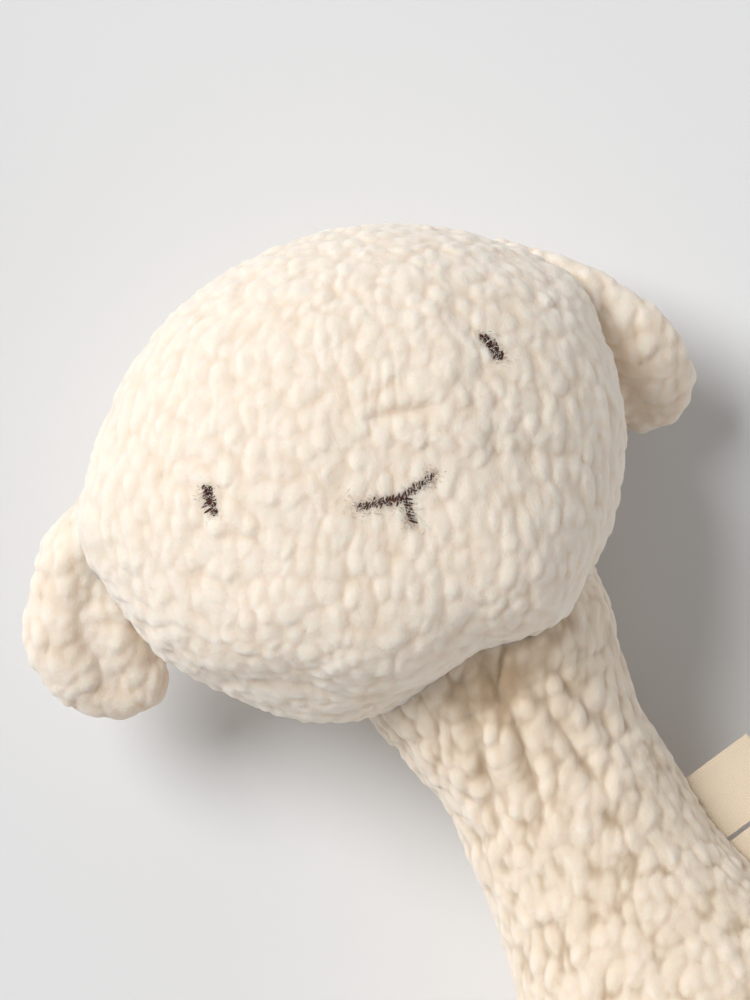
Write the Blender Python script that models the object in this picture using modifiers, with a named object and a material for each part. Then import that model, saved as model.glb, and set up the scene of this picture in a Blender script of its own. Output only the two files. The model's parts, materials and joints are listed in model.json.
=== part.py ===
"""A plush sheep lying on its back: cloth covers over stuffing, lop ears, stitched face, sewn-on limbs.

Metres, +Z up from the surface it lies on, +Y towards the top of the head, +X to the sheep's own
left. The origin is the middle of the flat that the hips rest on.
"""

import math

import bmesh
import bpy
from mathutils import Matrix, Vector

# Cloth and the clearances between touching pieces
GAP = 0.0003
JOINT_GAP = 0.0009
CLOTH = 0.0022
STUFFING_SLACK = 0.0008
FLAT_DEPTH = 0.0005

# Head: a wide soft ball, turned a little towards the sheep's left
HEAD_WIDTH = 0.1190
HEAD_HEIGHT = 0.1020
HEAD_DEPTH = 0.0860
HEAD_FULLNESS = 2.0
HEAD_TURN = math.radians(5.5)
HEAD_RISE = 0.0464
HEAD_SHIFT = -0.0055

# Stitched face, measured from the middle of the head
EYE_SPACING = 0.0707
EYE_RISE = 0.0097
EYE_LENGTH = 0.0070
EYE_WIDTH = 0.0038
EYE_SLANT = math.radians(11.5)
NOSE_SHIFT = 0.0013
NOSE_DROP = 0.0100
THREAD_WIDTH = 0.0021
THREAD_HEIGHT = 0.0009
# Each stroke of the Y runs from the nose to a tip this far across and up
NOSE_TIPS = {
    "right_arm": (-0.0099, 0.0029),
    "left_arm": (0.0078, 0.0011),
    "stem": (-0.0009, -0.0060),
}

# Lop ears, sewn on at the sides of the head
EAR_ROOT_RISE = 0.0197
EAR_ROOT_DEPTH = -0.0068
EAR_ROOT_RADIUS = 0.0028
EAR_ROOT_STAND = 0.0038
EAR_LENGTH = 0.0465
EAR_WIDTH = 0.0230
EAR_THICKNESS = 0.0080
EAR_BOW = 0.0058
EAR_OPENING = 1.5
EAR_TIP_FULLNESS = 9
EAR_TIP_CLOSENESS = 1.7
# How each ear has fallen: out from the head, down to the surface, and rolled on its length
EAR_FALL = {
    "right": {
        "spread": math.radians(14.0),
        "droop": math.radians(13.4),
        "roll": math.radians(0.0),
    },
    "left": {
        "spread": math.radians(12.6),
        "droop": math.radians(19.9),
        "roll": math.radians(49.2),
    },
}

# Neck: a short pillar with a rounded top that the head sits over
NECK_AXIS_HEIGHT = 0.0310
NECK_LENGTH = 0.0360
NECK_TOP_RADIUS = 0.0288
NECK_RADIUS = 0.0228
NECK_SHOULDER = 0.0125
NECK_WAIST = 0.0320
NECK_TOP_EDGE = math.radians(66)
NECK_LOW_EDGE = math.radians(150)
WAD_DROP = 0.0140

# Torso: a pear that widens from the neck to the hips
HIP_WIDTH = 0.0940
HIP_DEPTH = 0.0720
TORSO_RISE = 0.0960
TORSO_DROP = 0.0400
TORSO_TOP_RADIUS = 0.0243
NECK_STAND = 0.0080
NECK_BASE = TORSO_RISE + NECK_STAND

# Limbs: place along the torso, direction, length and how they swell
FRONT_LEG = {
    "seat": 0.0440,
    "spread": math.radians(50),
    "droop": math.radians(16.5),
    "length": 0.0800,
    "root_radius": 0.0110,
    "pinch": (0.0120, 0.0102),
    "swell": (0.0480, 0.0143),
    "end_radius": 0.0134,
    "seat_depth": 0.0015,
}
HIND_LEG = {
    "seat_across": 0.0240,
    "spread": math.radians(15),
    "droop": math.radians(14),
    "length": 0.0820,
    "root_radius": 0.0130,
    "pinch": (0.0140, 0.0122),
    "swell": (0.0560, 0.0168),
    "end_radius": 0.0158,
    "seat_depth": 0.0015,
}
TAIL = {
    "seat_angle": math.radians(40),
    "droop": math.radians(3),
    "length": 0.0290,
    "root_radius": 0.0046,
    "pinch": (0.0050, 0.0044),
    "swell": (0.0180, 0.0078),
    "end_radius": 0.0066,
    "seat_depth": 0.0008,
}
LIMB_COVER_EDGE = math.radians(160)

# Two folded cloth labels in the side seam on the sheep's left
LABEL_THICKNESS = 0.0008
BRAND_LABEL = {"place": 0.0838, "width": 0.0160, "reach": 0.0175}
CARE_LABEL = {"place": 0.0687, "width": 0.0130, "reach": 0.0180}

# How finely the round pieces are cut
AROUND = 20
DOWN = 11
ARC_STEPS = 4
LIMB_STEPS = 10
TIP_STEPS = 3
SEAT_SEGMENTS = 14
THREAD_SEGMENTS = 12
THREAD_RINGS = 6

CREAM = (0.86, 0.78, 0.68)
FIBRE = (0.93, 0.92, 0.90)
THREAD = (0.055, 0.028, 0.022)
RIBBON = (0.84, 0.72, 0.55)

HEAD_CENTRE = Vector(
    (HEAD_SHIFT, NECK_BASE + NECK_LENGTH + HEAD_RISE, HEAD_DEPTH / 2 - FLAT_DEPTH)
)
NECK_PIVOT = Vector((0, NECK_BASE, NECK_AXIS_HEIGHT))
HEAD_PIVOT = Vector((0, NECK_BASE + NECK_LENGTH, NECK_AXIS_HEIGHT))
HIP_AXIS_HEIGHT = HIP_DEPTH / 2 - FLAT_DEPTH
SIDES = {"right": -1, "left": 1}


# Scene, collections, materials

def empty_scene():
    for scene_object in list(bpy.data.objects):
        bpy.data.objects.remove(scene_object, do_unlink=True)


def new_collection(name):
    collection = bpy.data.collections.new(name)
    bpy.context.scene.collection.children.link(collection)
    return collection


def material(name, colour, roughness):
    made = bpy.data.materials.new(name)
    made.use_nodes = True
    shader = made.node_tree.nodes["Principled BSDF"]
    shader.inputs["Base Color"].default_value = (*colour, 1)
    shader.inputs["Roughness"].default_value = roughness
    shader.inputs["Metallic"].default_value = 0
    return made


empty_scene()
PARTS = new_collection("plush_sheep")
CUTTERS = new_collection("cutters")
LOOKS = {
    "fleece": (CREAM, 0.95),
    "fibre": (FIBRE, 0.90),
    "thread": (THREAD, 0.60),
    "ribbon": (RIBBON, 0.80),
}


def pivot(name, place, parent=None, turn=None):
    made = bpy.data.objects.new(name, None)
    made.parent = parent
    made.location = place
    if turn is not None:
        made.rotation_euler = turn
    PARTS.objects.link(made)
    return made


def piece(name, bm, look, parent=None, matrix=None):
    """A named node from a mesh, with a material of its own."""
    mesh = bpy.data.meshes.new(name)
    bm.to_mesh(mesh)
    bm.free()
    mesh.shade_smooth()
    mesh.materials.append(material(name, *LOOKS[look]))
    made = bpy.data.objects.new(name, mesh)
    made.parent = parent
    if matrix is not None:
        made.matrix_basis = matrix
    PARTS.objects.link(made)
    return made


def cutter(name, bm, matrix):
    mesh = bpy.data.meshes.new(name)
    bm.to_mesh(mesh)
    bm.free()
    made = bpy.data.objects.new(name, mesh)
    made.matrix_world = matrix
    made.hide_render = True
    made.display_type = "WIRE"
    CUTTERS.objects.link(made)
    return made


def cut(target, tool):
    boolean = target.modifiers.new("cut_" + tool.name, "BOOLEAN")
    boolean.operation = "DIFFERENCE"
    boolean.solver = "EXACT"
    boolean.object = tool


# Shapes

def ball(radius, segments=AROUND, rings=DOWN):
    bm = bmesh.new()
    bmesh.ops.create_uvsphere(bm, u_segments=segments, v_segments=rings, radius=radius)
    return bm


def eased(stations, place):
    """The value at a place, level at each (place, value) station and smooth between."""
    for (start, low), (end, high) in zip(stations, stations[1:]):
        if place <= end:
            share = (place - start) / (end - start)
            return low + (high - low) * share * share * (3 - 2 * share)
    return stations[-1][1]


def arc(radius, middle, first, last, steps=ARC_STEPS):
    """Profile points on a circle about the axis point at height middle, by angle from the top."""
    angles = [first + (last - first) * step / steps for step in range(steps + 1)]
    return [(radius * math.sin(angle), middle + radius * math.cos(angle)) for angle in angles]


def turned(name, profile, look, closed, parent, matrix, steps=AROUND):
    """A solid turned about its own Z from (radius, height) points, top to bottom outside."""
    bm = bmesh.new()
    points = [bm.verts.new((radius, 0, height)) for radius, height in profile]
    for first, second in zip(points, points[1:]):
        bm.edges.new((first, second))
    if closed:
        bm.edges.new((points[-1], points[0]))
    made = piece(name, bm, look, parent, matrix)
    screw = made.modifiers.new("turn", "SCREW")
    screw.steps = steps
    screw.render_steps = steps
    screw.use_merge_vertices = True
    screw.merge_threshold = GAP / 30
    return made


def ring(middle, wide, deep, first, last, steps, fullness=2):
    """Points round a section across Y, from angle first to last; a point where it has no size."""
    if wide < GAP:
        return [middle]
    angles = [first + (last - first) * step / steps for step in range(steps + 1)]
    if last - first > math.pi * 3 / 2:
        angles.pop()
    points = []
    for angle in angles:
        x = math.copysign(abs(math.cos(angle)) ** (2 / fullness), math.cos(angle))
        z = math.copysign(abs(math.sin(angle)) ** (2 / fullness), math.sin(angle))
        points.append(middle + Vector((wide * x, 0, deep * z)))
    return points


def add_rows(bm, rings, closed):
    """Adds the faces between rings of points, each an open row or a closed loop."""
    rows = [[bm.verts.new(point) for point in points] for points in rings]
    for lower, upper in zip(rows, rows[1:]):
        count = max(len(lower), len(upper))
        for index in range(count if closed else count - 1):
            following = (index + 1) % count
            corners = []
            for row, place in ((lower, index), (lower, following), (upper, following), (upper, index)):
                vertex = row[place] if len(row) > 1 else row[0]
                if vertex not in corners:
                    corners.append(vertex)
            bm.faces.new(corners)
    return rows


def closed_form(rings):
    """A solid through closed rings, with flat ends where they aren't points."""
    bm = bmesh.new()
    rows = add_rows(bm, rings, closed=True)
    for row in (rows[0], rows[-1]):
        if len(row) > 1:
            bm.faces.new(row)
    bmesh.ops.recalc_face_normals(bm, faces=bm.faces)
    return bm


def half_shell(outer, inner):
    """Half a cloth cover: two lofts of half rings, closed along the side seams and open ends."""
    bm = bmesh.new()
    outside = add_rows(bm, outer, closed=False)
    inside = add_rows(bm, inner, closed=False)
    for edge in (0, -1):
        for step in range(len(outside) - 1):
            corners = (outside[step], outside[step + 1], inside[step + 1], inside[step])
            bm.faces.new([row[edge] for row in corners])
    for row, inner_row in ((outside[0], inside[0]), (outside[-1], inside[-1])):
        for index in range(len(row) - 1):
            bm.faces.new((row[index], row[index + 1], inner_row[index + 1], inner_row[index]))
    bmesh.ops.recalc_face_normals(bm, faces=bm.faces)
    return bm


# Torso

def torso_half_width(y, inset=0.0):
    """Half the width at y: a round seat below the hips, easing in to the neck above them."""
    hip = HIP_WIDTH / 2 - inset
    top = TORSO_TOP_RADIUS - inset
    if y < 0:
        drop = TORSO_DROP - inset
        return hip * math.sqrt(max(0, 1 - (y / drop) ** 2))
    return top + (hip - top) * (1 + math.cos(math.pi * y / TORSO_RISE)) / 2


def torso_half_depth(y, inset=0.0):
    deep = HIP_DEPTH / 2 - inset
    top = TORSO_TOP_RADIUS - inset
    if y < 0:
        return deep * torso_half_width(y, inset) / (HIP_WIDTH / 2 - inset)
    return top + (deep - top) * (1 + math.cos(math.pi * y / TORSO_RISE)) / 2


def torso_axis_height(y):
    share = (1 - math.cos(math.pi * max(0, y) / TORSO_RISE)) / 2
    return HIP_AXIS_HEIGHT + (NECK_AXIS_HEIGHT - HIP_AXIS_HEIGHT) * share


def torso_rings(first, last, steps, inset=0.0):
    """Rings of the torso from angle first to last, measured from the sheep's left."""
    seat_steps = DOWN // 2
    drop = TORSO_DROP - inset
    places = [-drop * math.cos(math.pi / 2 * step / seat_steps) for step in range(seat_steps)]
    places += [TORSO_RISE * step / DOWN for step in range(DOWN + 1)]
    return [
        ring(Vector((0, y, torso_axis_height(y))), torso_half_width(y, inset),
             torso_half_depth(y, inset), first, last, steps)
        for y in places
    ]


def torso_panel(name, side):
    """Half of the torso's cover, from side seam to side seam: side is 1 in front, -1 behind."""
    outer, inner = (torso_rings(0, math.pi * side, AROUND // 2, inset) for inset in (0, CLOTH))
    seam = Matrix.Translation((0, 0, side * GAP / 2))
    return piece(name, half_shell(outer, inner), "fleece", None, seam)


def torso_stuffing():
    rings = torso_rings(0, 2 * math.pi, AROUND, CLOTH + STUFFING_SLACK)
    return piece("body_stuffing", closed_form(rings), "fibre")


# Limbs

def limb_profile(limb, inset=0.0):
    """Outline of a limb from its tip to the back of its root, about the seat's middle."""
    end = limb["end_radius"] - inset
    stations = [(0, limb["root_radius"] - inset)]
    stations += [(place, radius - inset) for place, radius in (limb["pinch"], limb["swell"])]
    last = limb["length"] - limb["end_radius"]
    stations.append((last, end))
    tip = arc(end, last, 0, math.pi / 2, TIP_STEPS)
    side = [last * (1 - step / ARC_STEPS) for step in range(1, ARC_STEPS)]
    return tip + [(eased(stations, place), place) for place in side]


def limb_pieces(name, limb, seat, direction, stuffed=True):
    """Cover and stuffing of one limb, its root a ball about the seat, turned along direction."""
    across = direction.cross(Vector((0, 0, 1))).normalized()
    turn = Matrix((across, direction.cross(across), direction)).transposed().to_4x4()
    joint = pivot(name + "_pivot", seat)
    root = limb["root_radius"]
    if not stuffed:
        outline = limb_profile(limb) + arc(root, 0, math.pi / 2, math.pi)
        turned(name, outline, "fleece", False, joint, turn, LIMB_STEPS)
        return
    outside = limb_profile(limb) + arc(root, 0, math.pi / 2, LIMB_COVER_EDGE, ARC_STEPS // 2)
    inside = limb_profile(limb, CLOTH)
    inside += arc(root - CLOTH, 0, math.pi / 2, LIMB_COVER_EDGE, ARC_STEPS // 2)
    turned(name + "_cover", outside + inside[::-1], "fleece", False, joint, turn, LIMB_STEPS)
    inset = CLOTH + STUFFING_SLACK
    core = limb_profile(limb, inset) + arc(root - inset, 0, math.pi / 2, math.pi, ARC_STEPS // 2)
    turned(name + "_stuffing", core, "fibre", False, joint, turn, LIMB_STEPS)


def seat_on_torso(limb, point, normal):
    """The middle of a limb's root ball, sunk a little into the torso's surface."""
    return point + normal * (limb["root_radius"] - limb["seat_depth"])


def front_leg_seat(side):
    y = FRONT_LEG["seat"]
    slope = (torso_half_width(y + GAP) - torso_half_width(y - GAP)) / (2 * GAP)
    normal = Vector((side, -slope, 0)).normalized()
    point = Vector((side * torso_half_width(y), y, torso_axis_height(y)))
    return seat_on_torso(FRONT_LEG, point, normal)


def hind_leg_seat(side):
    across = HIND_LEG["seat_across"]
    half = HIP_WIDTH / 2
    y = -TORSO_DROP * math.sqrt(1 - (across / half) ** 2)
    normal = Vector((side * across / half ** 2, y / TORSO_DROP ** 2, 0)).normalized()
    return seat_on_torso(HIND_LEG, Vector((side * across, y, HIP_AXIS_HEIGHT)), normal)


def tail_seat():
    angle = TAIL["seat_angle"]
    deep = HIP_DEPTH / 2
    y = -TORSO_DROP * math.cos(angle)
    z = -deep * math.sin(angle)
    normal = Vector((0, y / TORSO_DROP ** 2, z / deep ** 2)).normalized()
    return seat_on_torso(TAIL, Vector((0, y, HIP_AXIS_HEIGHT + z)), normal)


def leg_direction(limb, side):
    """Down the body, spread to its side and drooping towards the surface it lies on."""
    flat = math.cos(limb["droop"])
    spread = limb.get("spread", 0)
    return Vector(
        (side * math.sin(spread) * flat, -math.cos(spread) * flat, -math.sin(limb["droop"]))
    )


# Head

def head_rings(first, last, steps, inset=0.0):
    """Rings of the head about its middle: a ball stretched to three sizes and filled out."""
    wide, high, deep = (size / 2 - inset for size in (HEAD_WIDTH, HEAD_HEIGHT, HEAD_DEPTH))
    rings = []
    for step in range(DOWN + 1):
        angle = math.pi * step / DOWN
        y = -math.cos(angle)
        share = math.sin(angle) ** (2 / HEAD_FULLNESS)
        y = math.copysign(abs(y) ** (2 / HEAD_FULLNESS), y)
        middle = Vector((0, high * y, 0))
        rings.append(ring(middle, wide * share, deep * share, first, last, steps, HEAD_FULLNESS))
    return rings


def head_height_at(x, y):
    """Height of the face above the seam plane, at a place on it."""
    left = 1 - abs(2 * x / HEAD_WIDTH) ** HEAD_FULLNESS - abs(2 * y / HEAD_HEIGHT) ** HEAD_FULLNESS
    return HEAD_DEPTH / 2 * left ** (1 / HEAD_FULLNESS)


def head_normal(point):
    half = Vector((HEAD_WIDTH, HEAD_HEIGHT, HEAD_DEPTH)) / 2
    slopes = [
        math.copysign(abs(part / size) ** (HEAD_FULLNESS - 1) / size, part)
        for part, size in zip(point, half)
    ]
    return Vector(slopes).normalized()


def on_face(x, y, spin=0.0):
    """Matrix of a place on the face: Z out of the face, Y up it, then spun in its plane."""
    point = Vector((x, y, head_height_at(x, y)))
    out = head_normal(point)
    up = (Vector((0, 1, 0)) - out * out.y).normalized()
    frame = Matrix((up.cross(out), up, out)).transposed().to_4x4()
    return Matrix.Translation(point) @ frame @ Matrix.Rotation(spin, 4, "Z")


def stitched_pad(name, matrices, lengths, parent, place, head_tool):
    """Satin stitches: a low oval pad for each stroke, lying on the cloth of the face."""
    pads = []
    for index, (matrix, (wide, long)) in enumerate(zip(matrices, lengths)):
        bm = ball(1, THREAD_SEGMENTS, THREAD_RINGS)
        bmesh.ops.scale(bm, vec=(wide / 2, long / 2, THREAD_HEIGHT), verts=bm.verts)
        if index == 0:
            pads.append(piece(name, bm, "thread", parent, place @ matrix))
        else:
            world = parent.matrix_basis @ place @ matrix
            pads.append(cutter(name + "_stroke_%d" % index, bm, world))
    for stroke in pads[1:]:
        join = pads[0].modifiers.new("join_" + stroke.name, "BOOLEAN")
        join.operation = "UNION"
        join.solver = "EXACT"
        join.object = stroke
    cut(pads[0], head_tool)


def ear_panel(name, side, front, parent, matrix):
    """One cloth half of an ear: a leaf on a bowed line, flat inside and rounded outside."""
    rings = []
    steps = ARC_STEPS * 2
    for step in range(steps + 1):
        share = 1 - (1 - step / steps) ** EAR_TIP_CLOSENESS
        opening = math.sin(math.pi / 2 * min(1, share * EAR_OPENING))
        wide = EAR_ROOT_RADIUS + (EAR_WIDTH / 2 - EAR_ROOT_RADIUS) * opening
        wide *= math.sqrt(1 - share ** EAR_TIP_FULLNESS)
        deep = EAR_THICKNESS / 2 * math.sqrt(1 - share ** EAR_TIP_FULLNESS)
        bow = side * EAR_BOW * math.sin(math.pi * share)
        middle = Vector((bow, -EAR_LENGTH * share, 0))
        rings.append(ring(middle, wide, front * deep, 0, math.pi, ARC_STEPS))
    seam = Matrix.Translation((0, 0, front * GAP / 2))
    piece(name, closed_form(rings), "fleece", parent, matrix @ seam)


def ear_seat(side):
    """Middle of an ear's root, a little off the side of the head."""
    rise = abs(2 * EAR_ROOT_RISE / HEAD_HEIGHT) ** HEAD_FULLNESS
    depth = abs(2 * EAR_ROOT_DEPTH / HEAD_DEPTH) ** HEAD_FULLNESS
    across = HEAD_WIDTH / 2 * (1 - rise - depth) ** (1 / HEAD_FULLNESS)
    point = Vector((side * across, EAR_ROOT_RISE, EAR_ROOT_DEPTH))
    return point + head_normal(point) * EAR_ROOT_STAND


def build_head():
    joint = pivot("head_pivot", HEAD_PIVOT, turn=(0, HEAD_TURN, 0))
    turn = Matrix.Rotation(HEAD_TURN, 4, "Y")
    place = Matrix.Translation(turn.inverted() @ (HEAD_CENTRE - HEAD_PIVOT))
    world = Matrix.Translation(HEAD_PIVOT) @ turn @ place
    joint.matrix_basis = Matrix.Translation(HEAD_PIVOT) @ turn
    pocket = cutter(
        "neck_pocket", ball(NECK_TOP_RADIUS + JOINT_GAP), Matrix.Translation(HEAD_PIVOT)
    )
    for name, side in (("face_panel", 1), ("head_back_panel", -1)):
        seam = Matrix.Translation((0, 0, side * GAP / 2))
        halves = (head_rings(0, math.pi * side, AROUND // 2, inset) for inset in (0, CLOTH))
        panel = piece(name, half_shell(*halves), "fleece", joint, place @ seam)
        cut(panel, pocket)
        if side < 0:
            cut(panel, FLOOR)
    core = closed_form(head_rings(0, 2 * math.pi, AROUND, CLOTH + STUFFING_SLACK))
    stuffing = piece("head_stuffing", core, "fibre", joint, place)
    cut(stuffing, pocket)

    face_form = closed_form(head_rings(0, 2 * math.pi, AROUND, -GAP))
    head_tool = cutter("face_surface", face_form, world)
    for name, side in SIDES.items():
        eye = on_face(side * EYE_SPACING / 2, EYE_RISE, side * EYE_SLANT)
        size = (EYE_WIDTH, EYE_LENGTH)
        stitched_pad("eye_" + name, [eye], [size], joint, place, head_tool)
    strokes, sizes = [], []
    for across, rise in NOSE_TIPS.values():
        spin = math.atan2(-across, rise)
        strokes.append(on_face(NOSE_SHIFT + across / 2, rise / 2 - NOSE_DROP, spin))
        sizes.append((THREAD_WIDTH, math.hypot(across, rise) + THREAD_WIDTH))
    stitched_pad("nose_and_mouth", strokes, sizes, joint, place, head_tool)

    for name, side in SIDES.items():
        root = ear_seat(side)
        ear_joint = pivot("ear_%s_pivot" % name, (place @ root), joint)
        fall = EAR_FALL[name]
        hang = Matrix.Rotation(side * fall["spread"], 4, "Z")
        hang = hang @ Matrix.Rotation(fall["droop"], 4, "X")
        hang = hang @ Matrix.Rotation(-side * fall["roll"], 4, "Y")
        ear_panel("ear_%s_front_panel" % name, side, 1, ear_joint, hang)
        ear_panel("ear_%s_back_panel" % name, side, -1, ear_joint, hang)
        report(name + " ear root", world @ root)


# Neck

def build_neck():
    """A cover open at both ends, the stuffing in it, and the wad that the head turns on."""
    along_y = Matrix.Rotation(-math.pi / 2, 4, "X")
    joint = pivot("neck_pivot", NECK_PIVOT)
    shoulder = math.acos(-NECK_SHOULDER / NECK_TOP_RADIUS)

    def side_line(inset, top):
        start = NECK_LENGTH - NECK_SHOULDER
        waist = NECK_LENGTH - NECK_WAIST
        wide = NECK_TOP_RADIUS * math.sin(shoulder)
        stations = [(0, NECK_RADIUS), (waist, NECK_RADIUS), (start, wide)]
        places = [top * (1 - step / ARC_STEPS) for step in range(ARC_STEPS)]
        return [(eased(stations, place) - inset, place) for place in places]

    def cover_line(inset):
        top = arc(NECK_TOP_RADIUS - inset, NECK_LENGTH, NECK_TOP_EDGE, shoulder)[:-1]
        low = arc(NECK_RADIUS - inset, 0, math.pi / 2, NECK_LOW_EDGE)
        return top + side_line(inset, NECK_LENGTH - NECK_SHOULDER) + low

    outline = cover_line(0) + cover_line(CLOTH)[::-1]
    turned("neck_cover", outline, "fleece", True, joint, along_y)
    inset = CLOTH + STUFFING_SLACK
    top = NECK_LENGTH - WAD_DROP - GAP
    core = [(0, top)] + side_line(inset, top)
    core += arc(NECK_RADIUS - inset, 0, math.pi / 2, math.pi)
    turned("neck_stuffing", core, "fibre", False, joint, along_y)
    turn_joint = pivot("head_turn_pivot", HEAD_PIVOT)
    radius = NECK_TOP_RADIUS - inset
    wad = arc(radius, 0, 0, math.acos(-WAD_DROP / radius), ARC_STEPS + 3) + [(0, -WAD_DROP)]
    turned("neck_wad", wad, "fibre", False, turn_joint, along_y)


def build_torso(seats):
    front = torso_panel("body_front_panel", 1)
    back = torso_panel("body_back_panel", -1)
    stuffing = torso_stuffing()
    cup = cutter("neck_cup", ball(NECK_RADIUS + JOINT_GAP), Matrix.Translation(NECK_PIVOT))
    cut(stuffing, cup)
    for name, (limb, seat) in seats.items():
        hollow = ball(limb["root_radius"] + JOINT_GAP, SEAT_SEGMENTS, LIMB_STEPS)
        tool = cutter(name + "_seat", hollow, Matrix.Translation(seat))
        cut(front, tool)
        cut(back, tool)
    cut(back, FLOOR)


def build_label(name, label):
    """A folded ribbon that stands out of the side seam, hinged on its sewn edge."""
    top = torso_half_width(BRAND_LABEL["place"] + BRAND_LABEL["width"] / 2)
    low = torso_half_width(BRAND_LABEL["place"] - BRAND_LABEL["width"] / 2)
    slant = math.atan2(low - top, BRAND_LABEL["width"])
    bottom = label["place"] - label["width"] / 2
    reach = torso_half_width(bottom) - math.tan(slant) * label["width"] / 2
    x = reach + GAP + LABEL_THICKNESS / 2
    height = torso_axis_height(label["place"])
    joint = pivot(name + "_pivot", (x, label["place"], height), turn=(0, 0, slant))
    bm = bmesh.new()
    bmesh.ops.create_cube(bm, size=1)
    bmesh.ops.translate(bm, vec=(1 / 2, 0, 0), verts=bm.verts)
    size = (label["reach"], label["width"], LABEL_THICKNESS)
    bmesh.ops.scale(bm, vec=size, verts=bm.verts)
    piece(name, bm, "ribbon", joint)
    report(name, Vector((x, label["place"], height)))
    report(name + " axis", Vector((-math.sin(slant), math.cos(slant), 0)))


def report(name, point):
    """Prints a joint's place, in metres."""
    print("%-24s %9.5f %9.5f %9.5f" % (name, *point))


def floor_cutter():
    """A slab below the surface that the sheep lies on."""
    span = HEAD_WIDTH + TORSO_RISE
    bm = bmesh.new()
    bmesh.ops.create_cube(bm, size=span * 4)
    return cutter("floor", bm, Matrix.Translation((0, 0, -span * 2)))


FLOOR = floor_cutter()
SEATS = {"tail": (TAIL, tail_seat())}
for SIDE_NAME, SIDE in SIDES.items():
    SEATS["front_leg_" + SIDE_NAME] = (FRONT_LEG, front_leg_seat(SIDE))
    SEATS["hind_leg_" + SIDE_NAME] = (HIND_LEG, hind_leg_seat(SIDE))

build_head()
build_neck()
build_torso(SEATS)
for LIMB_NAME, (LIMB, SEAT) in SEATS.items():
    LIMB_SIDE = SIDES.get(LIMB_NAME.rsplit("_", 1)[-1], 0)
    limb_pieces(LIMB_NAME, LIMB, SEAT, leg_direction(LIMB, LIMB_SIDE), LIMB_SIDE != 0)
    report(LIMB_NAME, SEAT)
build_label("brand_label", BRAND_LABEL)
build_label("care_label", CARE_LABEL)
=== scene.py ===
"""A plush sheep on its back, seen from straight above: curly fleece skins over the solids' forms.

Lengths are in metres, in the solids' frame: +Z up, +Y to the top of the head, +X to the sheep's left.
"""

import json
import math

import bpy
import numpy as np
from mathutils import Matrix, Vector


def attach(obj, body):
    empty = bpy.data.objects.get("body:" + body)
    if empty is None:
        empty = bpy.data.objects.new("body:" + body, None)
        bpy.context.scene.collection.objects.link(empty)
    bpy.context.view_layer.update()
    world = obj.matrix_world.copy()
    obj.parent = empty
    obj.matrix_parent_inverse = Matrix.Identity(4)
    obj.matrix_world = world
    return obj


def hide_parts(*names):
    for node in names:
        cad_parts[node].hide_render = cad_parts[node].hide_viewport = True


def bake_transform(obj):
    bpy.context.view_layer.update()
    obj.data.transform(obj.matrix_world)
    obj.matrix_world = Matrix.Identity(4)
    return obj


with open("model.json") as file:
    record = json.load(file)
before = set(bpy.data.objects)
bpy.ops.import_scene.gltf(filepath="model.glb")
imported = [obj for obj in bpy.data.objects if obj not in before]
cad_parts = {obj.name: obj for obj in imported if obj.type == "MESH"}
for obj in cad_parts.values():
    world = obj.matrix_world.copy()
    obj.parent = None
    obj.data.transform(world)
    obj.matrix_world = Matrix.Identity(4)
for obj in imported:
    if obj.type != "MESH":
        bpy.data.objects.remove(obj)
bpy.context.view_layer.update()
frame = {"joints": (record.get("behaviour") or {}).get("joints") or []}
BODY_AT = {joint["name"]: joint["pos_m"] for joint in frame["joints"]}

# The solids' own measures that the skins are grown on
HEAD_SIZE = np.array([0.1190, 0.1020, 0.0860])
HEAD_MIDDLE = np.array([-0.0055, 0.1864, 0.0425])
HEAD_TURN = math.radians(5.5)
NECK_START = 0.1050
NECK_START_RADIUS = 0.0231
NECK_WAIST = 0.1080
NECK_RADIUS = 0.0228
NECK_CLOSE = 0.1275
NECK_TOP = 0.1400
NECK_HEIGHT = 0.0310
NECK_BALL = 0.0288
HIP_HALF = 0.0470
HIP_DEEP = 0.0360
TORSO_RISE = 0.0960
TORSO_DROP = 0.0400
TORSO_TOP = 0.0243
HIP_HEIGHT = 0.0355
EAR = {"root": 0.0028, "length": 0.0465, "width": 0.0230, "thick": 0.0080, "bow": 0.0058}
EAR_FALL = {"right": (14.0, 13.4, 0.0), "left": (12.6, 19.9, 49.2)}
FRONT_LEG = {
    "spread": 50, "droop": 16.5, "length": 0.0800, "root": 0.0110,
    "pinch": (0.0120, 0.0102), "swell": (0.0480, 0.0143), "end": 0.0134,
}
HIND_LEG = {
    "spread": 15, "droop": 14, "length": 0.0820, "root": 0.0130,
    "pinch": (0.0140, 0.0122), "swell": (0.0560, 0.0168), "end": 0.0158,
}
TAIL = {
    "spread": 0, "droop": 3, "length": 0.0290, "root": 0.0046,
    "pinch": (0.0050, 0.0044), "swell": (0.0180, 0.0078), "end": 0.0066,
}
SIDES = {"right": -1, "left": 1}
# Half the width that a sewn seam parts the pile over
SEAM_HALF = 0.0011

# The pile: how far its roots and tallest curls stand off the solids, how unevenly, and the
# curls' sizes, with lesser curls and a fine unevenness as shares of the whole
PILE_ROOT = 0.0003
PILE = 0.0016
PILE_CHANGE_SHARE = 0.16
PILE_CHANGE_PITCH = 0.013
LUMP = 0.0005
LUMP_PITCH = 0.021
FLOOR_SOFTNESS = 0.0004
CURL_PITCH = np.array([0.0033, 0.0053, 0.0033])
CURL_LEAN = 0.0012
CURL_PUSH = 0.0011
CURL_PUSH_PITCH = 0.0055
CURL_SCATTER = 0.80
CURL_SMALLEST, CURL_GROWTH = 0.82, 0.26
CURL_LOWEST, CURL_RISE = 0.50, 0.50
CURL_POWER = 1.6
CURL_JOIN = 11
LESSER_PITCH_SHARE, LESSER_STRETCH, LESSER_SHIFT = 0.52, 1.03, 0.37
FINE_PITCH = 0.0014
FINE_STRETCH = (1.3, 0.8, 1.3)
MAIN_SHARE, LESSER_SHARE, FINE_SHARE = 0.82, 0.17, 0.06
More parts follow.
